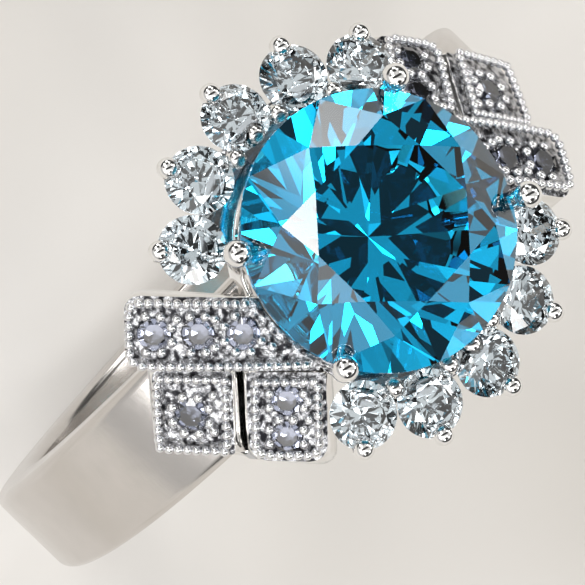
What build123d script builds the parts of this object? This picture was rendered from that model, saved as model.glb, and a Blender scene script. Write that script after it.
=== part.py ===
from build123d import *
from math import cos, hypot, radians, sin, sqrt
import os

# A cocktail ring: one large round brilliant in a four-claw basket, an arc of five white stones
# on each side of it, and two shoulders of grain-set panels: one long diagonal bar and two squares.
# Millimetres. The origin is the centre of the finger bore, Y runs along the finger, and +Z points
# from the finger to the centre stone. The shoulders lie at -X (left) and +X (right).
# The ring looks the same after half a turn about Z, so the right shoulder is the left one turned.

# Finger and band
bore_radius = 9.05
band_thickness = 1.7
band_outer = bore_radius + band_thickness
band_half_width_bottom, band_half_width_middle, band_half_width_top = 1.25, 1.75, 2.05
band_edge_round = 0.35
culet_hole_radius = 1.2

# Centre stone
girdle_height = 14.0
centre_diameter = 9.0
centre_table = 0.59
centre_crown = 1.4
centre_pavilion = 3.87
centre_girdle = 0.25
centre_turn = 22.5
# how far out the lower facets reach up to the girdle, as a share of the radius
pavilion_keel_share = 0.22

# Basket
lower_rail_inner, lower_rail_outer = 2.9, 3.8
lower_rail_bottom, lower_rail_top = 9.7, 10.9
upper_rail_inner, upper_rail_outer = 3.15, 3.95
upper_rail_bottom, upper_rail_top = 11.4, 12.1
claw_radius = 0.42
claw_ball_radius = 0.45
claw_ball_height = girdle_height + 0.47
claw_foot_radius, claw_foot_height = 3.35, 10.2
# the four claw tips are set by hand, so they stand a little unevenly round the stone
claw_tips = {
    "claw_left_back": (-3.91, 2.84),
    "claw_left_front": (-4.16, -2.06),
    "claw_right_front": (4.12, -2.67),
    "claw_right_back": (3.85, 2.92),
}

# Arcs of white stones
arc_stone_diameter = 2.2
arc_stone_table = 0.58
arc_stone_girdle = 0.06
arc_stone_crown = 0.34
arc_stone_pavilion = 0.94
arc_stone_radius = 5.55
arc_stone_height = 12.1
arc_stone_tilt = 10.0
arc_stone_angles = (-47.6, -24.4, 0.0, 24.4, 47.6)
cup_top_radius, cup_bottom_radius = 0.99, 0.55
cup_depth, cup_height = 1.08, 0.9
cup_hole_radius = 0.3
arc_rail_inner, arc_rail_outer = upper_rail_outer, 5.2
arc_rail_bottom, arc_rail_top = 11.1, 11.65
arc_rail_span = 100.0
outer_bead_radius, outer_bead_orbit, outer_bead_height = 0.36, 6.62, 12.08
outer_stem_radius, outer_stem_orbit, outer_stem_height = 0.26, 6.05, 11.0
inner_bead_radius, inner_bead_orbit, inner_bead_height = 0.34, 4.78, 12.3
inner_stem_radius, inner_stem_height = 0.24, 11.45
strut_radius = 0.3
strut_angles = (-38.0, 0.0, 38.0)
strut_foot = (3.5, 10.5)
strut_head = (4.75, 11.3)

# Shoulder panels, in millimetres along (a) and across (b) the diagonal bar, both measured
# on the shoulder's surface from the top of the ring
wrap_radius = 12.65
tray_floor_radius = 11.4
bar_top_radius = 12.8
square_top_radius = 12.5
wall_above_floor = 0.3
bar_rim, square_rim = 0.34, 0.36
bar_start, bar_end = -7.75, -1.6
bar_low, bar_high = -4.15, -1.75
bar_corner = 0.6
outer_start, outer_end, outer_low = -7.0, -4.4, -7.0
inner_start, inner_end, inner_low = -3.95, -1.4, -7.15
squares_high = -4.25
outer_corner, inner_corner = 0.3, 0.6
panel_depth = 2.0
wall_flare = 14.0
saddle_lip = 0.3
saddle_start_radius = 4.3
# the small stones' table, crown, pavilion and girdle, as shares of their radius
small_table, small_crown, small_pavilion, small_girdle = 0.6, 0.26, 0.8, 0.08
bar_stone_diameter = 1.05
bar_stone_a = (-6.8, -5.4, -4.0)
bar_grain_a = (-7.2, -6.1, -4.7, -3.25)
bar_middle_grain_a = (-6.1, -4.7)
outer_stone_diameter = 1.1
inner_stone_diameter = 1.0
inner_stone_b = (-5.15, -6.3)
milgrain_width, milgrain_height, milgrain_gap = 0.26, 0.13, 0.04
grain_radius = 0.18
bar_grain_lift, square_grain_lift, edge_grain_lift = 0.64, 0.62, 0.76
outer_stone_place = (-5.75, -5.7)
inner_stone_a = -2.68
inner_grain_b = (-4.85, -5.72, -6.6)
smallest_corner = 0.08
saddle_centre_a, saddle_centre_b = -4.8, -4.6
saddle_bridge_a, saddle_bridge_b = -4.2, -4.85
saddle_bridge_length, saddle_bridge_width = 5.0, 3.8

COS_HALF = cos(radians(22.5))
COS_QUARTER = cos(radians(11.25))
HALF_TURN = Location((0, 0, 0), (0, 0, 180))

os.makedirs("parts", exist_ok=True)


def save(solid, label):
    """Name a finished piece and write its STEP file."""
    solid.label = label
    export_step(solid, f"parts/{label}.step")


def save_turned(solid, label):
    """Write the same piece after half a turn about Z."""
    with BuildPart() as turned:
        with Locations(HALF_TURN):
            add(solid)
    save(turned.part, label)


# ---------------------------------------------------------------- stones

def facet(azimuth, slope, radius, height, side=1):
    """The plane of one facet: it falls by `slope` per unit outwards from this radius and height."""
    outward = Vector(cos(radians(azimuth)), sin(radians(azimuth)), 0)
    point = outward * radius + Vector(0, 0, side * height)
    normal = outward * slope + Vector(0, 0, side)
    return Plane(origin=point, z_dir=normal)


def brilliant_planes(radius, table, crown, pavilion, girdle, turn):
    """The 57 facet planes of a round brilliant whose girdle is centred on the XY plane."""
    table_corner = table * radius
    top = girdle / 2
    kite = crown / (radius - table_corner)
    table_edge = table_corner * COS_HALF
    star_tip = (table_edge + radius) / 2
    star = kite * (star_tip * COS_HALF - table_corner) / (star_tip - table_edge)
    star_tip_height = crown - (star_tip * COS_HALF - table_corner) * kite
    upper = star_tip_height / ((radius - star_tip) * COS_QUARTER)
    main = pavilion / radius
    keel = pavilion_keel_share * radius
    keel_depth = pavilion - keel * COS_HALF * main
    lower = keel_depth / ((radius - keel) * COS_QUARTER)
    planes = [Plane.XY.offset(top + crown)]
    for step in range(8):
        azimuth = turn + 45 * step
        planes.append(facet(azimuth, kite, radius, top))
        planes.append(facet(azimuth + 22.5, star, table_edge, top + crown))
        planes.append(facet(azimuth, main, radius, top, side=-1))
        for lean in (-11.25, 11.25):
            planes.append(facet(azimuth + lean, upper, radius * COS_QUARTER, top))
            planes.append(facet(azimuth + lean, lower, radius * COS_QUARTER, top, side=-1))
    return planes


def single_cut_planes(radius, table, crown, pavilion, girdle):
    """The 17 facet planes of a small single-cut stone."""
    top = girdle / 2
    planes = [Plane.XY.offset(top + crown)]
    for step in range(8):
        planes.append(facet(45 * step, crown / (radius * (1 - table)), radius, top))
        planes.append(facet(45 * step, pavilion / radius, radius, top, side=-1))
    return planes


def cut_stone(radius, crown, pavilion, girdle, planes):
    """A round blank cut down to its facets."""
    height = crown + girdle + pavilion
    with BuildPart() as stone:
        with Locations((0, 0, (crown - pavilion) / 2)):
            Cylinder(radius, height)
        for plane in planes:
            split(bisect_by=plane, keep=Keep.BOTTOM)
    return stone.part


def brilliant(diameter, table, crown, pavilion, girdle, turn=0.0):
    radius = diameter / 2
    planes = brilliant_planes(radius, table, crown, pavilion, girdle, turn)
    return cut_stone(radius, crown, pavilion, girdle, planes)


def single_cut(diameter):
    radius = diameter / 2
    crown, pavilion, girdle = small_crown * radius, small_pavilion * radius, small_girdle * radius
    planes = single_cut_planes(radius, small_table, crown, pavilion, girdle)
    return cut_stone(radius, crown, pavilion, girdle, planes)


with BuildPart() as centre_stone:
    with Locations((0, 0, girdle_height)):
        add(brilliant(centre_diameter, centre_table, centre_crown, centre_pavilion,
                      centre_girdle, centre_turn))
save(centre_stone.part, "centre_stone")

arc_stone = brilliant(arc_stone_diameter, arc_stone_table, arc_stone_crown, arc_stone_pavilion,
                      arc_stone_girdle)


def around(radius, angle, height):
    """A point at this radius and height, at an angle measured from +Y towards -X."""
    direction = radians(90 + angle)
    return Vector(radius * cos(direction), radius * sin(direction), height)


def arc_plane(angle):
    """The girdle plane of one white arc stone, tilted a little outwards."""
    outward = around(1, angle, 0)
    normal = outward * sin(radians(arc_stone_tilt)) + Vector(0, 0, cos(radians(arc_stone_tilt)))
    return Plane(origin=around(arc_stone_radius, angle, arc_stone_height), x_dir=outward - normal
                 * sin(radians(arc_stone_tilt)), z_dir=normal)


with BuildPart() as back_arc_stones:
    with Locations(*[arc_plane(angle) for angle in arc_stone_angles]):
        add(arc_stone)
for index, solid in enumerate(back_arc_stones.part.solids()):
    with BuildPart() as white_stone:
        add(solid)
    save(white_stone.part, f"arc_stone_back_{index + 1}")
    save_turned(white_stone.part, f"arc_stone_front_{index + 1}")

# ---------------------------------------------------------------- band

with BuildPart() as shank:
    with BuildSketch(Plane.XZ):
        Circle(band_outer)
        Circle(bore_radius, mode=Mode.SUBTRACT)
    extrude(amount=band_half_width_top, both=True)
    with BuildSketch(Plane.YZ):
        with BuildLine():
            right_edge = ThreePointArc((band_half_width_bottom, -band_outer),
                                       (band_half_width_middle, 0),
                                       (band_half_width_top, band_outer))
            Line((0, -band_outer), right_edge @ 0)
            Line(right_edge @ 1, (0, band_outer))
            mirror(about=Plane.YZ)
        make_face()
    extrude(amount=band_outer, both=True, mode=Mode.INTERSECT)
    fillet(shank.edges().filter_by(GeomType.LINE, reverse=True), band_edge_round)
    with BuildSketch(Plane.XY):
        Circle(culet_hole_radius)
    extrude(amount=band_outer, mode=Mode.SUBTRACT)
save(shank.part, "shank")

# ---------------------------------------------------------------- basket

def rod(foot, head, radius):
    """A straight round rod from foot to head."""
    with BuildPart() as straight:
        with BuildSketch(Plane(origin=foot, z_dir=head - foot)):
            Circle(radius)
        extrude(amount=(head - foot).length)
    return straight.part


def ball_rod(foot, head, radius, ball_radius):
    """A rod with a ball at its head."""
    with BuildPart() as headed:
        add(rod(foot, head, radius))
        with Locations(head):
            Sphere(ball_radius)
    return headed.part


claws = {}
for label, (tip_x, tip_y) in claw_tips.items():
    reach = claw_foot_radius / hypot(tip_x, tip_y)
    foot = Vector(tip_x * reach, tip_y * reach, claw_foot_height)
    head = Vector(tip_x, tip_y, claw_ball_height)
    with BuildPart() as claw:
        add(ball_rod(foot, head, claw_radius, claw_ball_radius))
        add(centre_stone.part, mode=Mode.SUBTRACT)
        add(shank.part, mode=Mode.SUBTRACT)
    save(claw.part, label)
    claws[label] = claw.part


def cut_by_claws():
    """Take the four claws out of the part being built."""
    for claw_solid in claws.values():
        add(claw_solid, mode=Mode.SUBTRACT)


with BuildPart() as basket_lower_rail:
    with BuildSketch(Plane.XY.offset(lower_rail_bottom)):
        Circle(lower_rail_outer)
        Circle(lower_rail_inner, mode=Mode.SUBTRACT)
    extrude(amount=lower_rail_top - lower_rail_bottom)
    add(shank.part, mode=Mode.SUBTRACT)
    cut_by_claws()
save(basket_lower_rail.part, "basket_lower_rail")

with BuildPart() as basket_upper_rail:
    with BuildSketch(Plane.XY.offset(upper_rail_bottom)):
        Circle(upper_rail_outer)
        Circle(upper_rail_inner, mode=Mode.SUBTRACT)
    extrude(amount=upper_rail_top - upper_rail_bottom)
    cut_by_claws()
save(basket_upper_rail.part, "basket_upper_rail")

# ---------------------------------------------------------------- arcs of white stones

inner_bead_angles = [(first + second) / 2
                     for first, second in zip(arc_stone_angles, arc_stone_angles[1:])]

with BuildPart() as arc_outer_claws_back:
    for angle in arc_stone_angles:
        add(ball_rod(around(outer_stem_orbit, angle, outer_stem_height),
                     around(outer_bead_orbit, angle, outer_bead_height),
                     outer_stem_radius, outer_bead_radius))
    add(back_arc_stones.part, mode=Mode.SUBTRACT)
save(arc_outer_claws_back.part, "arc_outer_claws_back")
save_turned(arc_outer_claws_back.part, "arc_outer_claws_front")

with BuildPart() as arc_inner_claws_back:
    for angle in inner_bead_angles:
        add(ball_rod(around(inner_bead_orbit, angle, inner_stem_height),
                     around(inner_bead_orbit, angle, inner_bead_height),
                     inner_stem_radius, inner_bead_radius))
    add(back_arc_stones.part, mode=Mode.SUBTRACT)
save(arc_inner_claws_back.part, "arc_inner_claws_back")
save_turned(arc_inner_claws_back.part, "arc_inner_claws_front")

rail_start = radians(90 - arc_rail_span / 2)
rail_plane = Plane(origin=(0, 0, 0), x_dir=(cos(rail_start), sin(rail_start), 0),
                   z_dir=(sin(rail_start), -cos(rail_start), 0))
with BuildPart() as arc_gallery_back:
    with BuildSketch(rail_plane):
        with Locations(((arc_rail_inner + arc_rail_outer) / 2, (arc_rail_bottom + arc_rail_top) / 2)):
            Rectangle(arc_rail_outer - arc_rail_inner, arc_rail_top - arc_rail_bottom)
    revolve(axis=Axis.Z, revolution_arc=arc_rail_span)
    for angle in arc_stone_angles:
        with Locations(arc_plane(angle).offset(-cup_depth)):
            Cone(cup_bottom_radius, cup_top_radius, cup_height,
                 align=(Align.CENTER, Align.CENTER, Align.MIN))
    with Locations(*[arc_plane(angle) for angle in arc_stone_angles]):
        Cylinder(cup_hole_radius, 3 * cup_depth, mode=Mode.SUBTRACT)
    for carried in (back_arc_stones, arc_outer_claws_back, arc_inner_claws_back, basket_upper_rail):
        add(carried.part, mode=Mode.SUBTRACT)
    cut_by_claws()
save(arc_gallery_back.part, "arc_gallery_back")
save_turned(arc_gallery_back.part, "arc_gallery_front")

with BuildPart() as arc_struts_back:
    for angle in strut_angles:
        add(rod(around(strut_foot[0], angle, strut_foot[1]),
                around(strut_head[0], angle, strut_head[1]), strut_radius))
    for neighbour in (basket_lower_rail, basket_upper_rail, arc_gallery_back, arc_inner_claws_back):
        add(neighbour.part, mode=Mode.SUBTRACT)
    cut_by_claws()
save(arc_struts_back.part, "arc_struts_back")
save_turned(arc_struts_back.part, "arc_struts_front")

# ---------------------------------------------------------------- shoulders

def surface_plane(a, b, radius):
    """The plane that touches a cylinder of this radius about the finger at panel place (a, b).

    Its x axis runs along the diagonal bar and its z axis points away from the finger.
    """
    along = (a + b) / sqrt(2)
    height_along_finger = (b - a) / sqrt(2)
    turn = along / wrap_radius
    outward = Vector(sin(turn), 0, cos(turn))
    tangent = Vector(cos(turn), 0, -sin(turn))
    origin = outward * radius + Vector(0, height_along_finger, 0)
    return Plane(origin=origin, x_dir=(tangent - Vector(0, 1, 0)), z_dir=outward)


class Panel:
    """One rectangular shoulder panel: its place on the shoulder, size, rim and rounded corners."""

    def __init__(self, name, a_range, b_range, top, rim, corner, rounded, stones, grains):
        self.name = name
        self.length, self.width = a_range[1] - a_range[0], b_range[1] - b_range[0]
        self.centre_a, self.centre_b = sum(a_range) / 2, sum(b_range) / 2
        self.plane = surface_plane(self.centre_a, self.centre_b, top)
        self.rim, self.corner, self.rounded = rim, corner, rounded
        self.stones, self.grains = stones, grains

    def floor_plane(self, a, b):
        """The floor of the recess at panel place (a, b)."""
        origin = self.plane.from_local_coords((a - self.centre_a, b - self.centre_b, -wall_above_floor))
        return Plane(origin=origin, x_dir=self.plane.x_dir, z_dir=self.plane.z_dir)

    def body(self):
        """The panel's full block, with walls that flare out towards the finger."""
        with BuildPart() as block:
            with BuildSketch(self.plane) as outline:
                Rectangle(self.length, self.width)
                fillet(outline.vertices().group_by(self.rounded)[0], self.corner)
            extrude(amount=-panel_depth, taper=-wall_flare)
            with BuildSketch(Plane.XY):
                Circle(upper_rail_outer)
            extrude(amount=2 * band_outer, mode=Mode.SUBTRACT)
        return block.part

    def region(self, inset, bottom, top):
        """The panel's outline drawn in by `inset`, between two heights, clear of the basket."""
        with BuildPart() as block:
            with BuildSketch(self.plane.offset(bottom)) as outline:
                Rectangle(self.length - 2 * inset, self.width - 2 * inset)
                corners = outline.vertices().group_by(self.rounded)[0]
                fillet(corners, max(self.corner - inset, smallest_corner))
            extrude(amount=top - bottom)
            with BuildSketch(Plane.XY):
                Circle(upper_rail_outer + inset)
            extrude(amount=2 * band_outer, mode=Mode.SUBTRACT)
        return block.part


panels = [
    Panel("bar", (bar_start, bar_end), (bar_low, bar_high), bar_top_radius, bar_rim, bar_corner,
          Axis.X,
          [(a, (bar_low + bar_high) / 2) for a in bar_stone_a],
          [(a, (bar_low + bar_high) / 2 + lift) for a in bar_grain_a
           for lift in (-bar_grain_lift, bar_grain_lift)]
          + [(a, (bar_low + bar_high) / 2) for a in bar_middle_grain_a]),
    Panel("outer_square", (outer_start, outer_end), (outer_low, squares_high), square_top_radius,
          square_rim, outer_corner, Axis.X,
          [outer_stone_place],
          [(outer_stone_place[0] + da, outer_stone_place[1] + db)
           for da, db in ((-square_grain_lift, -square_grain_lift), (0, -edge_grain_lift),
                          (square_grain_lift, -square_grain_lift), (edge_grain_lift, 0),
                          (square_grain_lift, square_grain_lift), (0, edge_grain_lift),
                          (-square_grain_lift, square_grain_lift), (-edge_grain_lift, 0))]),
    Panel("inner_square", (inner_start, inner_end), (inner_low, squares_high), square_top_radius,
          square_rim, inner_corner, Axis.Y,
          [(inner_stone_a, b) for b in inner_stone_b],
          [(inner_stone_a + da, b) for da in (-square_grain_lift, square_grain_lift)
           for b in inner_grain_b]),
]
panel_stone = {"bar": bar_stone_diameter, "outer_square": outer_stone_diameter,
               "inner_square": inner_stone_diameter}


def shell(inner, outer):
    """What lies between two cylinders about the finger."""
    with BuildPart() as hollow:
        with BuildSketch(Plane.XZ):
            Circle(outer)
            Circle(inner, mode=Mode.SUBTRACT)
        extrude(amount=band_outer, both=True)
    return hollow.part


saddle_plane = surface_plane(saddle_centre_a, saddle_centre_b, tray_floor_radius + 1)
with BuildPart() as saddle:
    with BuildSketch(saddle_plane):
        for panel in panels:
            with Locations((panel.centre_a - saddle_centre_a, panel.centre_b - saddle_centre_b)):
                Rectangle(panel.length + 2 * saddle_lip, panel.width + 2 * saddle_lip)
        with Locations((saddle_bridge_a - saddle_centre_a, saddle_bridge_b - saddle_centre_b)):
            Rectangle(saddle_bridge_length, saddle_bridge_width)
    extrude(amount=-3 * (tray_floor_radius - band_outer) - 1)
    add(shell(band_outer, tray_floor_radius), mode=Mode.INTERSECT)
    with BuildSketch(Plane.XY):
        Circle(saddle_start_radius)
    extrude(amount=2 * band_outer, mode=Mode.SUBTRACT)
save(saddle.part, "shoulder_saddle_left")
save_turned(saddle.part, "shoulder_saddle_right")

trays = []
for panel in panels:
    small_stone = single_cut(panel_stone[panel.name])
    with BuildPart() as stones:
        with Locations(*[panel.floor_plane(a, b) for a, b in panel.stones]):
            add(small_stone)
    for index, solid in enumerate(stones.part.solids()):
        with BuildPart() as one_stone:
            add(solid)
        save(one_stone.part, f"{panel.name}_stone_left_{index + 1}")
        save_turned(one_stone.part, f"{panel.name}_stone_right_{index + 1}")

    with BuildPart() as tray:
        add(panel.body())
        add(panel.region(panel.rim, -wall_above_floor, 1), mode=Mode.SUBTRACT)
        add(shell(tray_floor_radius, 2 * tray_floor_radius), mode=Mode.INTERSECT)
        add(stones.part, mode=Mode.SUBTRACT)
        for earlier in trays:
            add(earlier, mode=Mode.SUBTRACT)
        cut_by_claws()
    save(tray.part, f"{panel.name}_tray_left")
    save_turned(tray.part, f"{panel.name}_tray_right")
    trays.append(tray.part)

    strip_inset = panel.rim - milgrain_gap
    with BuildPart() as milgrain:
        add(panel.region(strip_inset - milgrain_width, 0, milgrain_height))
        add(panel.region(strip_inset, -1, 1), mode=Mode.SUBTRACT)
        for earlier in trays[:-1]:
            add(earlier, mode=Mode.SUBTRACT)
        cut_by_claws()
    save(milgrain.part, f"{panel.name}_milgrain_left")
    save_turned(milgrain.part, f"{panel.name}_milgrain_right")

    with BuildPart() as grains:
        with Locations(*[panel.floor_plane(a, b) for a, b in panel.grains]):
            Sphere(grain_radius, arc_size1=0, align=(Align.CENTER, Align.CENTER, Align.MIN))
        add(stones.part, mode=Mode.SUBTRACT)
        add(tray.part, mode=Mode.SUBTRACT)
        add(basket_upper_rail.part, mode=Mode.SUBTRACT)
    save(grains.part, f"{panel.name}_grains_left")
    save_turned(grains.part, f"{panel.name}_grains_right")
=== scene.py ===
# %% [markdown]
# # A cocktail ring
# A big sky-blue stone sits in a four-claw basket. Two arcs of white stones curve round it, and three
# little milgrain-edged panels stand on each shoulder of a plain polished band.
# The solid model is already made, in metres, and is loaded here as a fixed frame. The stones keep
# their solids, because flat facets are exactly right. The metal is rebuilt with smooth meshes,
# because polished silver shows every flat triangle as a broken reflection.

# %% Load the frame
from math import asin, atan2, copysign, cos, hypot, pi, radians, sin, sqrt, tan

import bmesh
import bpy
from mathutils import Matrix, Vector


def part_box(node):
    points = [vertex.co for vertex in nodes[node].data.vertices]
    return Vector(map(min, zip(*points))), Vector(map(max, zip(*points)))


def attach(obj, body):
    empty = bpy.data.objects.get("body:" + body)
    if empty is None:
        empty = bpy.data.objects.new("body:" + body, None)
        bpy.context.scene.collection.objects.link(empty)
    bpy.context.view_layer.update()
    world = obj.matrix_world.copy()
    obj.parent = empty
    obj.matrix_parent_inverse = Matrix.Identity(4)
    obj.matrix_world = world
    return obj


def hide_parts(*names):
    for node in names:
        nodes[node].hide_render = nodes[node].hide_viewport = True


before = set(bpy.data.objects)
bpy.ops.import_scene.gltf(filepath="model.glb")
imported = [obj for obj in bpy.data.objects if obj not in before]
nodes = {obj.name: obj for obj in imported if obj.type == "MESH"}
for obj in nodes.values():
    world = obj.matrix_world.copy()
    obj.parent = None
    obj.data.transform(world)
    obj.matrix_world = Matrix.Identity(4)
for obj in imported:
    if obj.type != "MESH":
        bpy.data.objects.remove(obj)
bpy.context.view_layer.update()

MM = 0.001

# %% [markdown]
# ## Sizes
# Everything is measured in millimetres from the centre of the finger bore, with Y along the finger
# and Z up to the centre stone.

# %% Read the main sizes from the frame
def low(name):
    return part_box(name)[0] / MM


def high(name):
    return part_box(name)[1] / MM


def middle(name):
    return (low(name) + high(name)) / 2


band_outer = high("shank").x
band_half_width = high("shank").y
band_thickness = 1.7
bore_radius = band_outer - band_thickness
centre_stone_radius = high("centre_stone").x
lower_rail_outer = high("basket_lower_rail").x
upper_rail_outer = high("basket_upper_rail").x
print("band outer radius", round(band_outer, 2), "mm, centre stone",
      round(2 * centre_stone_radius, 2), "mm")

# %% [markdown]
# ## Small helpers
# A ring is many turned, bent and repeated pieces. A few helpers cover nearly all of them: they
# finish a mesh and hand it to the frame, turn a profile round an axis as on a lathe, run a round bar
# along a path, and make the same piece again for the other side. The whole ring looks the same
# after half a turn about Z, so the second shoulder is the first one turned.

# %% Finish a mesh and hand it to the frame
HALF_TURN = Matrix.Rotation(pi, 4, "Z")
WELD = 0.0005


def finish_mesh(name, bm, round_edges=0.0, segments=3, sharp_angle=40):
    """Close a bmesh built in millimetres, round its sharp edges and return its object."""
    bmesh.ops.remove_doubles(bm, verts=bm.verts, dist=WELD)
    bmesh.ops.recalc_face_normals(bm, faces=bm.faces)
    bmesh.ops.scale(bm, vec=(MM, MM, MM), verts=bm.verts)
    mesh = bpy.data.meshes.new(name)
    bm.to_mesh(mesh)
    bm.free()
    piece = bpy.data.objects.new(name, mesh)
    bpy.context.collection.objects.link(piece)
    if round_edges:
        bevel = piece.modifiers.new("rounded edges", "BEVEL")
        bevel.width = round_edges * MM
        bevel.segments = segments
        bevel.limit_method = "ANGLE"
        bevel.angle_limit = radians(sharp_angle)
        settle(piece)
    piece.data.shade_smooth()
    piece.data.set_sharp_from_angle(angle=radians(sharp_angle))
    return piece


def settle(piece):
    """Turn a piece's modifiers into plain mesh."""
    bpy.context.view_layer.update()
    evaluated = piece.evaluated_get(bpy.context.evaluated_depsgraph_get())
    piece.data = bpy.data.meshes.new_from_object(evaluated)
    piece.modifiers.clear()


def place(piece, metals, *replaced):
    """Give a piece its metals and let it stand for its solids."""
    for finish in metals:
        piece.data.materials.append(finish)
    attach(piece, "root")
    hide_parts(*replaced)
    return piece


def turned(piece, name, *replaced):
    """The same piece after half a turn about Z."""
    mesh = piece.data.copy()
    mesh.transform(HALF_TURN)
    copy = bpy.data.objects.new(name, mesh)
    bpy.context.collection.objects.link(copy)
    return place(copy, (), *replaced)


# %% Turn a profile, and run a bar along a path
def axes_matrix(origin, up, out=None):
    """A matrix that puts local Z along `up` at this origin, with local X near `out`."""
    up = Vector(up).normalized()
    out = Vector(out) if out is not None else up.orthogonal()
    side = up.cross(out).normalized()
    out = side.cross(up)
    matrix = Matrix((out, side, up)).transposed().to_4x4()
    matrix.translation = origin
    return matrix


def lathe(bm, profile, matrix=Matrix(), angle=2 * pi, steps=48, closed=True):
    """Turn a profile of (radius, height) points about the matrix's Z axis."""
    points = [bm.verts.new(matrix @ Vector((radius, 0, height))) for radius, height in profile]
    pairs = list(zip(points, points[1:]))
    if closed:
        pairs.append((points[-1], points[0]))
    edges = [bm.edges.new(pair) for pair in pairs]
    full = angle > 2 * pi - 0.001
    bmesh.ops.spin(bm, geom=points + edges, cent=matrix.translation, axis=matrix.col[2].to_3d(),
                   angle=angle, steps=steps, use_merge=full)
    if closed and not full:
        rims = [edge for edge in bm.edges if edge.is_boundary]
        bmesh.ops.holes_fill(bm, edges=rims)


def edges_of(loop):
    """The edges of a loop of vertices, each of them once and always in the same order."""
    return list(dict.fromkeys(edge for vert in loop for edge in vert.link_edges))


def bar(bm, points, radii, sides=20):
    """A round bar through the points: a circle extruded from one to the next and capped."""
    points = [Vector(point) for point in points]
    steps = [after - before for before, after in zip(points, points[1:])]
    tangents = [steps[0]] + [a.normalized() + b.normalized() for a, b in zip(steps, steps[1:])]
    tangents.append(steps[-1])
    turn = axes_matrix((0, 0, 0), tangents[0])
    station = Matrix.Translation(points[0]) @ turn @ Matrix.Scale(radii[0], 4)
    circle = bmesh.ops.create_circle(bm, segments=sides, radius=1.0, matrix=station)["verts"]
    start = edges_of(circle)
    edges = start
    for index in range(1, len(points)):
        swing = tangents[index - 1].rotation_difference(tangents[index]).to_matrix().to_4x4()
        turn = swing @ turn
        following = Matrix.Translation(points[index]) @ turn @ Matrix.Scale(radii[index], 4)
        made = bmesh.ops.extrude_edge_only(bm, edges=edges)["geom"]
        verts = [item for item in made if isinstance(item, bmesh.types.BMVert)]
        edges = [item for item in made if isinstance(item, bmesh.types.BMEdge)
                 and all(vert in verts for vert in item.verts)]
        bmesh.ops.transform(bm, matrix=following @ station.inverted(), verts=verts)
        station = following
    bmesh.ops.holes_fill(bm, edges=start + edges)


def ball(bm, centre, radius, detail=3):
    """A smooth round bead."""
    bmesh.ops.create_icosphere(bm, subdivisions=detail, radius=radius,
                               matrix=Matrix.Translation(centre))


# %% [markdown]
# ## Writing materials
# A finish is a little sum over textures. `Wire` wraps one socket, so that `0.05 + 0.1 * noise` makes
# the Math nodes by itself, and `Finish.node` makes any other node from its type, its settings and
# the values of its sockets.

# %% A socket that can be used in sums
class Wire:
    def __init__(self, finish, socket):
        self.finish, self.socket = finish, socket

    def sum_with(self, operation, first, second):
        made = self.finish.node("ShaderNodeMath", {"operation": operation}, {0: first, 1: second})
        return self.finish.wire(made)

    def __add__(self, other):
        return self.sum_with("ADD", self, other)

    def __radd__(self, other):
        return self.sum_with("ADD", other, self)

    def __sub__(self, other):
        return self.sum_with("SUBTRACT", self, other)

    def __rsub__(self, other):
        return self.sum_with("SUBTRACT", other, self)

    def __mul__(self, other):
        return self.sum_with("MULTIPLY", self, other)

    def __rmul__(self, other):
        return self.sum_with("MULTIPLY", other, self)

    def above(self, limit):
        return self.sum_with("GREATER_THAN", self, limit)


class Finish:
    """A node tree with one way to add nodes and one way to read them."""

    def __init__(self, owner):
        owner.use_nodes = True
        self.tree = owner.node_tree
        self.tree.nodes.clear()

    def node(self, kind, settings=None, inputs=None):
        made = self.tree.nodes.new(kind)
        for name, value in (settings or {}).items():
            setattr(made, name, value)
        for name, value in (inputs or {}).items():
            if isinstance(value, Wire):
                self.tree.links.new(value.socket, made.inputs[name])
            else:
                made.inputs[name].default_value = value
        return made

    def wire(self, made, output=0):
        return Wire(self, made.outputs[output])

    def noise(self, scale, detail=3.0, stretch=(1, 1, 1)):
        """Noise over the piece's own coordinates, with a scale in bumps per millimetre."""
        place_on = self.wire(self.node("ShaderNodeTexCoord"), "Object")
        mapped = self.node("ShaderNodeMapping", None, {"Vector": place_on, "Scale": stretch})
        made = self.node("ShaderNodeTexNoise", None,
                         {"Vector": self.wire(mapped), "Scale": scale / MM, "Detail": detail})
        return self.wire(made)


# %% [markdown]
# ## Polished silver
# Rhodium-plated silver is almost a mirror. What makes it read as metal and not as chrome paint is
# faint: polishing swirls far under a tenth of a millimetre, slightly duller patches, and a colour a
# touch warmer than steel. The band's polish is softer than the claws', and its darker colour is
# painted shade. The hollows of the panels have a rough, bumpy finish, and their blotched dark colour
# is painted shade. The seats under the small stones are the darkest, also painted shade.

# %% Make the metals
def metal(name, bright, dull, smooth, rough, swirl, grain=1.2, contrast=1.0, depth=0.004,
          scratch=9.0, stretch=(1, 0.25, 1)):
    """A polished metal that drifts between two tones and two roughnesses.

    `grain` and `scratch` are bumps per millimetre, and `depth` is the height of a scratch.
    """
    material = bpy.data.materials.new(name)
    finish = Finish(material)
    drift = finish.wire(finish.node("ShaderNodeClamp", None, {
        "Value": (finish.noise(grain, 2.0) - 0.5) * contrast + 0.5}))
    fine = finish.noise(scratch, 4.0, stretch=stretch)
    colour = finish.node("ShaderNodeMix", {"data_type": "RGBA"},
                         {"Factor": drift, 6: (*bright, 1), 7: (*dull, 1)})
    bump = finish.node("ShaderNodeBump", None, {"Strength": swirl, "Distance": depth * MM,
                                                "Height": fine})
    shader = finish.node("ShaderNodeBsdfPrincipled", None, {
        "Base Color": finish.wire(colour, 2), "Metallic": 1.0,
        "Roughness": smooth + (rough - smooth) * drift * fine * 2.0,
        "Normal": finish.wire(bump)})
    finish.node("ShaderNodeOutputMaterial", None, {"Surface": finish.wire(shader)})
    return material


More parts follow.
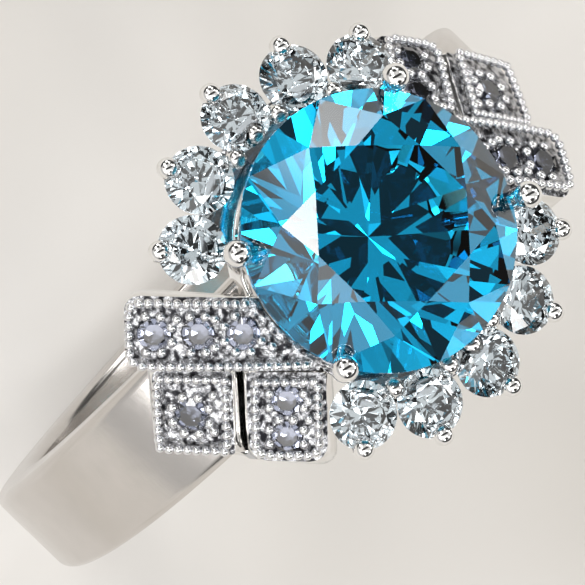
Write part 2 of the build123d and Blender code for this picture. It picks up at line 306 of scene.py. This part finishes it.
silver = metal("polished silver", bright=(0.93, 0.925, 0.915), dull=(0.84, 0.835, 0.83),
               smooth=0.03, rough=0.12, swirl=0.25)
bead_silver = metal("beaded silver", bright=(0.90, 0.90, 0.91), dull=(0.72, 0.73, 0.76),
                    smooth=0.04, rough=0.14, swirl=0.2)
# The hollows' dark, blotched colour is painted shade, over real rough bumps.
shaded_hollow_silver = metal("hollow silver", bright=(0.66, 0.67, 0.70), dull=(0.03, 0.03, 0.035),
                      smooth=0.1, rough=0.24, swirl=1.0, grain=4.2, contrast=5.0, depth=0.09,
                      scratch=4.5, stretch=(1, 1, 1))
# The band's darker colour is painted shade; its rougher polish is real.
shaded_band_silver = metal("band silver", bright=(0.70, 0.67, 0.645), dull=(0.63, 0.605, 0.58),
                    smooth=0.16, rough=0.26, swirl=0.25)
# The seats' near-black colour is painted shade under the small stones.
shaded_seat_silver = metal("stone seats", bright=(0.16, 0.16, 0.19), dull=(0.05, 0.05, 0.07),
                    smooth=0.15, rough=0.3, swirl=0.5)
metals = (silver, bead_silver, shaded_hollow_silver, shaded_band_silver, shaded_seat_silver)
print("metals:", ", ".join(finish.name for finish in metals))

# %% [markdown]
# ## Cut stones
# A gem is a clear solid with a high refractive index, so light bounces about inside it and comes
# back up through the facets. Every stone takes some light out along the way, which is volume
# absorption. The blue one takes out red: short paths stay pale cyan and long ones turn to deep
# navy. The white stones of the arcs take out only a trace of it. The small ones in the panels are
# white stones too, but they take out some of every colour, so that they stand out as greyer than the
# bright beads round them: this grey is painted shade.

# %% Make the stones
def gem(name, index, tint, cloud, density):
    """A clear stone; `tint` is what passes through its depth and `cloud` drifts over its faces."""
    material = bpy.data.materials.new(name)
    finish = Finish(material)
    haze = finish.noise(0.35, 2.0)
    colour = finish.node("ShaderNodeMix", {"data_type": "RGBA"},
                         {"Factor": haze, 6: (1, 1, 1, 1), 7: (*cloud, 1)})
    shader = finish.node("ShaderNodeBsdfPrincipled", None, {
        "Base Color": finish.wire(colour, 2), "Roughness": 0.0, "IOR": index,
        "Transmission Weight": 1.0})
    output = finish.node("ShaderNodeOutputMaterial", None, {"Surface": finish.wire(shader)})
    inside = finish.node("ShaderNodeVolumeAbsorption", None,
                         {"Color": (*tint, 1), "Density": density})
    finish.tree.links.new(inside.outputs[0], output.inputs["Volume"])
    return material


blue_gem = gem("sky blue stone", index=1.95, tint=(0.0, 0.84, 0.955), cloud=(0.9, 0.98, 1.0),
               density=440.0)
white_gem = gem("white stone", index=2.1, tint=(0.76, 0.92, 1.0), cloud=(0.92, 0.97, 1.0),
                density=220.0)
# The small stones are white; their grey absorption is painted shade.
shaded_small_gem = gem("small white stone", index=2.1, tint=(0.48, 0.51, 0.60), cloud=(0.9, 0.92, 0.98),
                density=2000.0)
for name, item in nodes.items():
    if "stone" in name:
        # The small stones of the panels get the grey of painted shade.
        cut = blue_gem if name == "centre_stone" else white_gem if "arc" in name else shaded_small_gem
        item.data.materials.clear()
        item.data.materials.append(cut)
print("stones:", sum("stone" in name for name in nodes))

# %% [markdown]
# ## Floor, camera and light
# The ring stands on a plain pale floor. The camera looks down on the stone from a little to one
# side, through a long lens. A jeweller's light tent is mostly white with a few black flags in it:
# without something dark to reflect, silver and stones turn to milk. Small bright windows put the
# sparks in the facets. Behind the ring the camera sees a plain backdrop in place of the tent.

# %% Floor
def paint_floor():
    material = bpy.data.materials.new("pale cloth")
    finish = Finish(material)
    soft = finish.noise(0.05, 1.0)
    colour = finish.node("ShaderNodeMix", {"data_type": "RGBA"},
                         {"Factor": soft, 6: (0.54, 0.505, 0.45, 1), 7: (0.90, 0.89, 0.88, 1)})
    shader = finish.node("ShaderNodeBsdfPrincipled", None,
                         {"Base Color": finish.wire(colour, 2), "Roughness": 0.85})
    finish.node("ShaderNodeOutputMaterial", None, {"Surface": finish.wire(shader)})
    return material


floor_half_size = 900
floor_mesh = bmesh.new()
bmesh.ops.create_grid(floor_mesh, x_segments=1, y_segments=1, size=floor_half_size,
                      matrix=Matrix.Translation((0, 0, -band_outer)))
floor = finish_mesh("floor", floor_mesh)
floor.data.materials.append(paint_floor())

# %% Camera
view_from = Vector((-0.29804, 0.09828, 0.94948)).normalized()
view_right = Vector((0.64181, -0.71565, 0.27554)).normalized()
view_up = view_from.cross(view_right)
camera_place = Vector((-77.6, 25.17, 250.34))
camera = bpy.data.objects.new("camera", bpy.data.cameras.new("camera"))
bpy.context.collection.objects.link(camera)
camera.data.sensor_width = 36
camera.data.lens = 493
camera.data.clip_start = 0.01
camera.matrix_world = Matrix((view_right, view_up, view_from)).transposed().to_4x4()
camera.matrix_world.translation = camera_place * MM
bpy.context.scene.camera = camera
print("camera at", [round(v / MM, 1) for v in camera.matrix_world.translation], "mm")

# %% Light tent
# Azimuth, elevation and half angle of each flag, in degrees.
FLAGS = ((252, 36, 15), (62, 38, 14), (10, 32, 15), (128, 32, 9))
# The same for each window, and how much brighter than the tent it is.
WINDOWS = ((195, 52, 13, 1.6), (104, 50, 6, 9.0), (270, 54, 5, 9.0), (232, 62, 4, 14.0),
           (340, 30, 6, 9.0), (40, 34, 5, 10.0), (150, 40, 5, 9.0), (232, 26, 5, 9.0),
           (56, 16, 9, 6.0), (180, 30, 5, 14.0), (214, 45, 5, 14.0), (90, 28, 5, 14.0),
           (286, 30, 5, 14.0), (320, 20, 5, 14.0), (125, 58, 5, 14.0), (2, 46, 5, 14.0))
SLOT_AZIMUTH, SLOT_HALF_WIDTH, SLOT_BOTTOM = 72, 0.17, 0.76
HORIZON, HORIZON_GLOW, FLAG_DARKNESS = 0.34, 0.1, 0.93
TENT_STRENGTH = 0.66


def light_tent():
    """A white tent with dark flags, a dark horizon, a slot for the camera and bright windows."""
    world = bpy.data.worlds.new("light tent")
    bpy.context.scene.world = world
    finish = Finish(world)
    heading = finish.wire(finish.node("ShaderNodeTexCoord"), "Generated")

    def toward(azimuth, elevation, half_angle):
        direction = (cos(radians(azimuth)) * cos(radians(elevation)),
                     sin(radians(azimuth)) * cos(radians(elevation)), sin(radians(elevation)))
        dot = finish.node("ShaderNodeVectorMath", {"operation": "DOT_PRODUCT"},
                          {0: heading, 1: direction})
        # The edge of a flag or a window is soft, from 1.2 to 0.85 of its half angle.
        soft = finish.node("ShaderNodeMapRange", {"interpolation_type": "SMOOTHSTEP"},
                           {"Value": finish.wire(dot, "Value"),
                            "From Min": cos(radians(1.2 * half_angle)),
                            "From Max": cos(radians(0.85 * half_angle))})
        return finish.wire(soft)

    parts = finish.node("ShaderNodeSeparateXYZ", None, {"Vector": heading})
    height = finish.wire(parts, "Z")
    across = finish.node("ShaderNodeVectorMath", {"operation": "DOT_PRODUCT"},
                         {0: heading, 1: (cos(radians(SLOT_AZIMUTH)), sin(radians(SLOT_AZIMUTH)), 0)})
    aside = finish.node("ShaderNodeMath", {"operation": "ABSOLUTE"},
                        {0: finish.wire(across, "Value")})
    camera_slot = height.above(SLOT_BOTTOM) * (1.0 - finish.wire(aside).above(SLOT_HALF_WIDTH))
    flags = camera_slot
    for azimuth, elevation, half_angle in FLAGS:
        flags = flags + toward(azimuth, elevation, half_angle)
    low_glow = 0.76 * toward(168, 0, 46)
    tent = (height.above(HORIZON) + HORIZON_GLOW) * (1.0 - FLAG_DARKNESS * flags) + low_glow
    for azimuth, elevation, half_angle, power in WINDOWS:
        tent = tent + power * toward(azimuth, elevation, half_angle)
    seen = finish.wire(finish.node("ShaderNodeLightPath"), "Is Camera Ray")
    tent_light = finish.node("ShaderNodeBackground", None,
                             {"Color": (1.0, 0.985, 0.965, 1), "Strength": TENT_STRENGTH * tent})
    backdrop = finish.node("ShaderNodeBackground", None,
                           {"Color": (0.74, 0.71, 0.66, 1), "Strength": 1.0})
    mixed = finish.node("ShaderNodeMixShader", None, {
        0: seen, 1: finish.wire(tent_light), 2: finish.wire(backdrop)})
    finish.node("ShaderNodeOutputWorld", None, {"Surface": finish.wire(mixed)})


light_tent()
bpy.context.scene.view_settings.view_transform = "Standard"

# %% [markdown]
# ## Band
# The band is one strip of silver bent round the finger, wider at the shoulders than at the back.
# A rectangle turned about the finger makes the hoop, the width is then pulled in towards the bottom,
# and a bevel rounds its long edges, as polishing does. The hole under the stone's point is drilled
# last.

# %% Bend the band
half_width_bottom, half_width_side, half_width_dip = 1.25, 1.75, 0.1
stone_hole_radius = 1.2


def half_width_at(height):
    """The band's half width: least at the bottom, 1.75 level with the finger, most at the top."""
    share = height / band_outer
    spread = (band_half_width - half_width_bottom) / 2
    return half_width_side + share * spread - share * share * half_width_dip


hoop = bmesh.new()
along_finger = axes_matrix((0, 0, 0), (0, 1, 0), (1, 0, 0))
lathe(hoop, [(bore_radius, -1), (band_outer, -1), (band_outer, 1), (bore_radius, 1)],
      along_finger, steps=180)
for vert in hoop.verts:
    vert.co.y *= half_width_at(vert.co.z)
band = finish_mesh("band", hoop, round_edges=0.35, segments=5)

drill = bmesh.new()
bmesh.ops.create_cone(drill, cap_ends=True, segments=40, radius1=stone_hole_radius,
                      radius2=stone_hole_radius, depth=4,
                      matrix=Matrix.Translation((0, 0, 10)))
drill_piece = finish_mesh("drill", drill)
cut = band.modifiers.new("hole under the point", "BOOLEAN")
cut.object = drill_piece
cut.operation = "DIFFERENCE"
settle(band)
bpy.data.objects.remove(drill_piece)
band.data.set_sharp_from_angle(angle=radians(40))
# The band's silver is darkened with painted shade.
place(band, [shaded_band_silver], "shank")
print("band:", len(band.data.polygons), "faces")

# %% [markdown]
# ## Basket
# Two rings of wire hold the four claws together. Each is a small square profile turned about the
# stone's axis. The claws are nearly straight bars that lean out with the stone's underside, and
# each ends in a polished ball that is pushed over the stone's edge.

# %% Turn the two rails
lower_rail_inner, upper_rail_inner = 2.9, 3.15
rail_polish = 0.1


def rail(name, inner, outer):
    ring = bmesh.new()
    bottom, top = low("basket_" + name).z, high("basket_" + name).z
    lathe(ring, [(inner, bottom), (outer, bottom), (outer, top), (inner, top)], steps=120)
    return place(finish_mesh(name, ring, round_edges=0.14), [silver], "basket_" + name)


rail("lower_rail", lower_rail_inner, lower_rail_outer)
rail("upper_rail", upper_rail_inner, upper_rail_outer - rail_polish)

# %% Bend the four claws
claw_ball = 0.45
claw_foot_reach, claw_foot_height = 3.35, 10.2
claw_radii = (0.4, 0.4, 0.38, 0.37, 0.33)


def claw(node):
    """A leaning bar with a ball tip, set where the solid claw stands."""
    corner_low, corner_high = low(node), high(node)
    tip = Vector([corner_high[axis] - claw_ball if corner_high[axis] > 0
                  else corner_low[axis] + claw_ball for axis in (0, 1)]).to_3d()
    tip.z = corner_high.z - claw_ball
    away = Vector((tip.x, tip.y, 0)).normalized()
    foot = away * claw_foot_reach + Vector((0, 0, claw_foot_height))
    belly = foot.lerp(tip, 0.6) + away * 0.06
    shoulder = foot.lerp(tip, 0.86) + away * 0.04
    shaped = bmesh.new()
    bar(shaped, [foot, foot.lerp(tip, 0.3), belly, shoulder, tip], claw_radii, sides=24)
    ball(shaped, tip, claw_ball, detail=4)
    return place(finish_mesh(node + "_polished", shaped), [silver], node)


for node in ("claw_left_back", "claw_left_front", "claw_right_front", "claw_right_back"):
    claw(node)
print("four claws, tip balls", 2 * claw_ball, "mm across")

# %% [markdown]
# ## Arcs of white stones
# Each white stone sits in its own little cup, and five cups are joined by a curved rail. Outside,
# every stone has one claw with a ball tip. Inside, neighbours share a bead. The cup is a thin wall
# turned about its own stone's axis, which leans outwards a little.

# %% Cups and rail of the back arc
arc_tilt, arc_orbit, arc_height = 10.0, 5.55, 12.1
cup_wall = [(0.30, -1.08), (0.55, -1.08), (0.80, -0.6), (0.98, -0.2), (0.95, -0.17), (0.40, -0.72),
            (0.30, -0.8)]
curved_rail = [(4.0, 11.1), (5.2, 11.1), (5.2, 11.65), (4.0, 11.65)]
curved_rail_start, curved_rail_sweep = radians(40), radians(100)


def upright(out, distance, height):
    """The point this far out from the centre stone's axis and this high."""
    return out * distance + Vector((0, 0, height))


def arc_seat(index):
    """The girdle's centre and axis of one white stone of the back arc, and its way out."""
    centre = middle(f"arc_stone_back_{index}")
    out = Vector((centre.x, centre.y, 0)).normalized()
    axis = out * sin(radians(arc_tilt)) + Vector((0, 0, cos(radians(arc_tilt))))
    return upright(out, arc_orbit, arc_height), axis, out


arc_seats = [arc_seat(index) for index in range(1, 6)]
gallery = bmesh.new()
for point, axis, out in arc_seats:
    lathe(gallery, cup_wall, axes_matrix(point, axis, out), steps=36)
lathe(gallery, curved_rail, Matrix.Rotation(curved_rail_start, 4, "Z"), angle=curved_rail_sweep,
      steps=60)
back_gallery = place(finish_mesh("back_gallery", gallery, round_edges=0.05, segments=2),
                     [bead_silver], "arc_gallery_back")
turned(back_gallery, "front_gallery", "arc_gallery_front")
print("gallery:", len(back_gallery.data.polygons), "faces")

# %% Claws, beads and struts of the arcs
outer_reach, outer_height, outer_ball = 6.62, 12.08, 0.36
inner_reach, inner_height, inner_ball, inner_foot = 4.78, 12.3, 0.34, 11.45
strut_angles = (52, 90, 128)

outer_claws = bmesh.new()
for point, axis, out in arc_seats:
    tip = upright(out, outer_reach, outer_height)
    bar(outer_claws, [upright(out, 6.05, 11.0), upright(out, 6.42, 11.5), tip], [0.2, 0.25, 0.25],
        sides=16)
    ball(outer_claws, tip, outer_ball)
back_claws = place(finish_mesh("back_outer_claws", outer_claws), [silver], "arc_outer_claws_back")
turned(back_claws, "front_outer_claws", "arc_outer_claws_front")

inner_claws = bmesh.new()
outward = [out for point, axis, out in arc_seats]
for out_before, out_after in zip(outward, outward[1:]):
    out = (out_before + out_after).normalized()
    tip = upright(out, inner_reach, inner_height)
    bar(inner_claws, [upright(out, inner_reach, inner_foot), tip], [0.24, 0.24], sides=16)
    ball(inner_claws, tip, inner_ball)
back_beads = place(finish_mesh("back_inner_claws", inner_claws), [silver], "arc_inner_claws_back")
turned(back_beads, "front_inner_claws", "arc_inner_claws_front")

struts = bmesh.new()
for angle in strut_angles:
    out = Vector((cos(radians(angle)), sin(radians(angle)), 0))
    bar(struts, [upright(out, 3.5, 10.5), upright(out, 4.2, 10.8), upright(out, 4.75, 11.3)],
        [0.3, 0.26, 0.3], sides=16)
back_struts = place(finish_mesh("back_struts", struts), [silver], "arc_struts_back")
turned(back_struts, "front_struts", "arc_struts_front")

# %% [markdown]
# ## Shoulder panels
# The panels are drawn flat and then wrapped round the finger. On the flat, `a` runs along the
# diagonal bar and `b` across it, and the height is the distance from the finger's axis. The two turn
# by 45 degrees against the band. `wrap` bends the flat drawing onto the ring.

# %% Wrap a flat drawing round the finger
wrap_radius = 12.65


def wrap(point):
    """From (a, b, distance from the finger's axis) to the ring's own X, Y and Z."""
    a, b, distance = point
    turn = (a + b) / sqrt(2) / wrap_radius
    return Vector((distance * sin(turn), (b - a) / sqrt(2), distance * cos(turn)))


def unwrap(point):
    """From the ring's X, Y and Z to (a, b)."""
    along = wrap_radius * atan2(point.x, point.z)
    return (along - point.y) / sqrt(2), (along + point.y) / sqrt(2)


def wrap_mesh(bm, spacing=0.45):
    """Cut a flat mesh into narrow strips across the bend, then bend it."""
    reach = [(vert.co.x + vert.co.y) / sqrt(2) for vert in bm.verts]
    station = min(reach) + spacing
    while station < max(reach):
        bmesh.ops.bisect_plane(bm, geom=bm.verts[:] + bm.edges[:] + bm.faces[:], dist=1e-5,
                               plane_co=Vector((1, 1, 0)) * station / sqrt(2), plane_no=(1, 1, 0))
        station += spacing
    for vert in bm.verts:
        vert.co = wrap(vert.co)


# %% The edge that follows the basket
edge_from, edge_to, edge_steps = 222, 132, 60


def basket_edge(radius, below, above, end):
    """The curve, on the flat, where a panel meets a circle round the basket."""
    points = []
    for step in range(edge_steps + 1):
        angle = radians(edge_from + (edge_to - edge_from) * step / edge_steps)
        along = wrap_radius * asin(radius * cos(angle) / wrap_radius)
        across = radius * sin(angle)
        a, b = (along - across) / sqrt(2), (along + across) / sqrt(2)
        if below + 0.12 < b < above and a < end:
            points.append((a, b))
    return points


def from_basket(a, b):
    """How far a place on the flat lies from the centre stone's axis."""
    return hypot(wrap((a, b, wrap_radius)).x, (b - a) / sqrt(2))


# %% The three panels
grain_spacing, grain_clearance = 0.3, 0.27
grain_from_rim, grain_from_stone, grain_ring_gap = 0.12, 0.08, 0.1
least_corner = 0.06


class Panel:
    """A rectangular panel on the flat, with its outer corners rounded.

    A panel with a round end follows the round basket there instead of ending square.
    """

    def __init__(self, name, a_range, b_range, top, rim, corners, stone_radius, stones,
                 round_end=False):
        self.name = name
        self.a_range, self.b_range = a_range, b_range
        self.top, self.rim, self.corners = top, rim, corners
        self.stone_radius, self.stones = stone_radius, stones
        self.round_end = round_end

    def outline(self, inset):
        """Points round the panel, drawn in by `inset`, corner by corner."""
        start, end = self.a_range[0] + inset, self.a_range[1] - inset
        below, above = self.b_range[0] + inset, self.b_range[1] - inset
        points = []
        for corner_a, corner_b, radius, first in ((start, above, self.corners[0], 90),
                                                  (start, below, self.corners[1], 180),
                                                  (end, below, self.corners[2], 270),
                                                  (end, above, self.corners[3], 0)):
            if self.round_end and first == 0:
                points += basket_edge(upper_rail_outer + inset, below, above, end)
                continue
            radius = max(radius - inset, least_corner)
            centre_a = corner_a + (radius if corner_a == start else -radius)
            centre_b = corner_b + (radius if corner_b == below else -radius)
            for step in range(5):
                angle = radians(first + 22.5 * step)
                points.append((centre_a + radius * cos(angle), centre_b + radius * sin(angle)))
        return points

    def walk(self, inset, spacing):
        """Evenly spaced points along the outline."""
        points = [Vector(point) for point in self.outline(inset)]
        points.append(points[0])
        lengths = [(after - before).length for before, after in zip(points, points[1:])]
        count = round(sum(lengths) / spacing)
        step = sum(lengths) / count
        found, travelled, target = [], 0.0, 0.0
        for before, after, length in zip(points, points[1:], lengths):
            while target < travelled + length and len(found) < count:
                found.append(before.lerp(after, (target - travelled) / length))
                target += step
            travelled += length
        return found

    def grain_places(self):
        """Grains in a ring round each stone, then in what is left of the floor."""
        ring = self.stone_radius + grain_ring_gap
        wanted = [(a + ring * cos(radians(22.5 + 45 * step)), b + ring * sin(radians(22.5 + 45 * step)))
                  for a, b in self.stones for step in range(8)]
        reach = self.rim + grain_from_rim
        a = self.a_range[0] + reach
        while a < self.a_range[1] - reach:
            b = self.b_range[0] + reach
            while b < self.b_range[1] - reach:
                wanted.append((a, b))
                b += grain_spacing
            a += grain_spacing
        found = []
        for a, b in wanted:
            inside = (self.a_range[0] + reach < a < self.a_range[1] - reach
                      and self.b_range[0] + reach < b < self.b_range[1] - reach
                      and from_basket(a, b) > upper_rail_outer + reach)
            clear = (all(hypot(a - x, b - y) > self.stone_radius + grain_from_stone
                         for x, y in self.stones)
                     and all(hypot(a - x, b - y) > grain_clearance for x, y in found))
            if inside and clear:
                found.append((a, b))
        return found


# %% Where the panels and their stones lie
def stone_places(kind, count):
    return [unwrap(middle(f"{kind}_stone_left_{index}")) for index in range(1, count + 1)]


panels = [
    Panel("bar", a_range=(-7.75, -1.6), b_range=(-4.15, -1.75), top=12.8, rim=0.34,
          corners=(0.5, 0.6, 0.1, 0.1), stone_radius=0.525, stones=stone_places("bar", 3),
          round_end=True),
    Panel("outer_square", a_range=(-7.0, -4.4), b_range=(-7.0, -4.25), top=12.5, rim=0.36,
          corners=(0.3, 0.3, 0.12, 0.12), stone_radius=0.55, stones=stone_places("outer_square", 1)),
    Panel("inner_square", a_range=(-3.95, -1.4), b_range=(-7.15, -4.25), top=12.5, rim=0.36,
          corners=(0.12, 0.6, 0.6, 0.12), stone_radius=0.5, stones=stone_places("inner_square", 2)),
]
for panel in panels:
    print(panel.name, "stones at", [tuple(round(v, 2) for v in place_on) for place_on in panel.stones])

# %% [markdown]
# A tray starts as one flat face. Two insets give it a rim and a sunk floor, the floor is opened with
# a round hole for each stone, and the holes are drawn down into cone seats. Pulling the outline down
# makes the side walls, which flare a little under the squares. The sunk floor gets the dark colour of
# painted shade, and so do the rims of the bar and the outer square under their milgrain. The seats
# get a darker painted shade still. Only then is the whole tray wrapped round the finger.

# %% Press the trays
floor_depth, tray_bottom = 0.3, 11.4
wall_flare = radians(14)
rim_slope, seat_depth, seat_share, seat_play = 0.06, 0.42, 0.3, 0.015
polished_strip, upright_wall = 0.4, 0.1


def pulled(bm, edges, shape):
    """Extrude a loop of edges and move what was made with `shape`; returns the new edges."""
    made = bmesh.ops.extrude_edge_only(bm, edges=edges)["geom"]
    verts = [item for item in made if isinstance(item, bmesh.types.BMVert)]
    for vert in verts:
        vert.co = shape(vert.co)
    return [item for item in made if isinstance(item, bmesh.types.BMEdge)
            and all(vert in verts for vert in item.verts)]


def tray(panel):
    """Press a panel's left tray, and turn it for the right shoulder."""
    bm = bmesh.new()
    corners = [bm.verts.new((a, b, panel.top)) for a, b in panel.outline(0)]
    face = bm.faces.new(corners)
    outline = list(face.edges)
    bmesh.ops.inset_region(bm, faces=[face], thickness=panel.rim - rim_slope, use_even_offset=True)
    bmesh.ops.inset_region(bm, faces=[face], thickness=rim_slope, depth=0, use_even_offset=True)
    sunk = panel.top - floor_depth
    for vert in face.verts:
        vert.co.z = sunk
    rim_of_floor = list(face.edges)
    bmesh.ops.delete(bm, geom=[face], context="FACES_ONLY")
    holes = []
    for a, b in panel.stones:
        ring = bmesh.ops.create_circle(bm, segments=28, radius=panel.stone_radius + seat_play,
                                       matrix=Matrix.Translation((a, b, sunk)))["verts"]
        holes.append(((a, b), edges_of(ring)))
    edges = rim_of_floor + [edge for place_on, hole in holes for edge in hole]
    bmesh.ops.triangle_fill(bm, use_beauty=True, edges=edges, normal=(0, 0, 1))
    for (a, b), hole in holes:
        bottom = pulled(bm, hole, lambda co: Vector((a + (co.x - a) * seat_share,
                                                     b + (co.y - b) * seat_share,
                                                     co.z - seat_depth)))
        bmesh.ops.holes_fill(bm, edges=bottom)
    # Seats, sunk floors and the milgrain rims of the bar and outer square get painted shade.
    seat_faces = [face for face in bm.faces if min(vert.co.z for vert in face.verts) < sunk - 0.01]
    painted_shade_faces = [face for face in bm.faces if min(vert.co.z for vert in face.verts) < sunk + 0.01
                    or panel.name != "inner_square"
                    and from_basket(*face.calc_center_median()[:2]) > upper_rail_outer + polished_strip]

    spread = tan(wall_flare) * (panel.top - tray_bottom)
    centre_a, centre_b = sum(panel.a_range) / 2, sum(panel.b_range) / 2

    def flared(co):
        if panel.round_end or from_basket(co.x, co.y) < upper_rail_outer + upright_wall:
            return Vector((co.x, co.y, tray_bottom))
        return Vector((co.x + copysign(spread, co.x - centre_a),
                       co.y + copysign(spread, co.y - centre_b), tray_bottom))

    bmesh.ops.holes_fill(bm, edges=pulled(bm, outline, flared))
    for face in bm.faces:
        # Seats get the darkest painted shade, and hollows and rims get the lighter one.
        face.material_index = 2 if face in seat_faces else 1 if face in painted_shade_faces else 0
    wrap_mesh(bm)
    name = panel.name + "_tray_left"
    piece = place(finish_mesh(name + "_polished", bm, round_edges=0.05, segments=2),
                  [silver, shaded_hollow_silver, shaded_seat_silver], name)
    other = panel.name + "_tray_right"
    turned(piece, other + "_polished", other)
    return piece


for panel in panels:
    made = tray(panel)
    print(made.name, len(made.data.polygons), "faces,",
          sum(face.material_index > 0 for face in made.data.polygons), "of them hollow")

# %% [markdown]
# Milgrain is a row of tiny beads rolled along an edge with a knurled wheel. The bar's end along the
# basket has none. The grains between the stones are curls of metal pushed up with a graver and
# rounded with a hollow tool.

# %% Roll the milgrain and raise the grains
milgrain_radius, milgrain_spacing, milgrain_lift = 0.165, 0.3, 0.02
milgrain_inset, milgrain_inset_inner, milgrain_from_basket = 0.16, 0.08, 0.35
grain_radius, grain_lift = 0.18, 0.08


def beads(panel):
    """Roll a panel's milgrain and raise its grains on both shoulders; returns the grains' number."""
    rolled = bmesh.new()
    inset = panel.rim - (milgrain_inset_inner if panel.name == "inner_square" else milgrain_inset)
    for a, b in panel.walk(inset, milgrain_spacing):
        if from_basket(a, b) > upper_rail_outer + milgrain_from_basket:
            spot = wrap((a, b, panel.top + milgrain_lift))
            bmesh.ops.create_uvsphere(rolled, u_segments=9, v_segments=6, radius=milgrain_radius,
                                      matrix=Matrix.Translation(spot))
    name = panel.name + "_milgrain_left"
    piece = place(finish_mesh(name + "_beads", rolled, sharp_angle=80), [bead_silver], name)
    turned(piece, panel.name + "_milgrain_right_beads", panel.name + "_milgrain_right")

    raised = bmesh.new()
    places = panel.grain_places()
    for a, b in places:
        ball(raised, wrap((a, b, panel.top - floor_depth + grain_lift)), grain_radius, detail=2)
    name = panel.name + "_grains_left"
    piece = place(finish_mesh(name + "_beads", raised), [bead_silver], name)
    turned(piece, panel.name + "_grains_right_beads", panel.name + "_grains_right")
    return len(places)


for panel in panels:
    print(panel.name, beads(panel), "grains")

# %% [markdown]
# ## Shoulder saddles
# Under the panels a curved plate joins them to the band. It is drawn flat as one L-shaped outline,
# stands out a little past the panels as a thin ledge, and is wrapped in the same way.

# %% Bend the saddles
saddle_outline = [(-7.55, -2.0), (-7.55, -4.45), (-7.3, -4.45), (-7.3, -7.3), (-4.25, -7.3),
                  (-4.1, -7.4), (-1.9, -7.4), (-1.4, -7.1), (-1.15, -6.5)]
saddle_start_radius, solder = 4.3, 0.02


def saddle():
    """The left saddle, sunk a little into the trays above it and the band below it."""
    bm = bmesh.new()
    outline = saddle_outline + basket_edge(saddle_start_radius, -6.5, -2.0, -1.15)
    plate = bm.faces.new([bm.verts.new((a, b, tray_bottom + solder)) for a, b in outline])
    lower = pulled(bm, list(plate.edges), lambda co: Vector((co.x, co.y, band_outer - solder)))
    bmesh.ops.holes_fill(bm, edges=lower)
    wrap_mesh(bm)
    piece = finish_mesh("shoulder_saddle_left_polished", bm, round_edges=0.06, segments=2)
    return place(piece, [silver], "shoulder_saddle_left")


left_saddle = saddle()
turned(left_saddle, "shoulder_saddle_right_polished", "shoulder_saddle_right")
